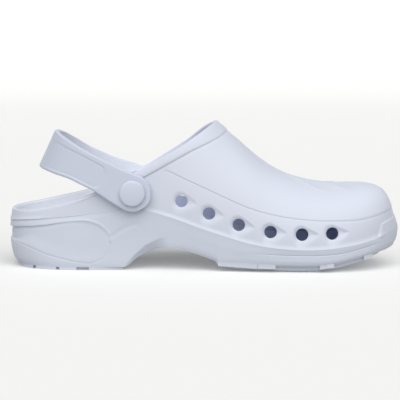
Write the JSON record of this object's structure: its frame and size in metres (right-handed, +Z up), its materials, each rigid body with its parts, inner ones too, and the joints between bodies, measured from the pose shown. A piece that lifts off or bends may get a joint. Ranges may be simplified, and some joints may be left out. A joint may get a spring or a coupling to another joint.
{
  "type": "hospital clog",
  "caption": "Moulded foam work clog with closed toe, side vents, arched cup sole with heel, loose insole and a swinging heel strap on push rivets.",
  "frame": {"origin": "on the floor, under the middle of the shoe's bounding box", "axes": "+X towards the toe, +Y towards the outer side of this left shoe, +Z up"},
  "size_m": [0.27, 0.1038, 0.1008],
  "materials": {
    "upper_foam": "smooth satin moulded EVA foam, cool white",
    "sole_foam": "matt moulded EVA foam, cool white",
    "insole_foam": "matt textured EVA foam, cool white",
    "strap_foam": "smooth satin moulded EVA foam, cool white",
    "rivet_plastic": "satin moulded plastic, cool white"
  },
  "bodies": {
    "root": {"upper": "upper_foam", "sole": "sole_foam", "insole": "insole_foam", "heel_strap": "strap_foam", "rivet_near": "rivet_plastic", "rivet_far": "rivet_plastic"}
  },
  "joints": []
}
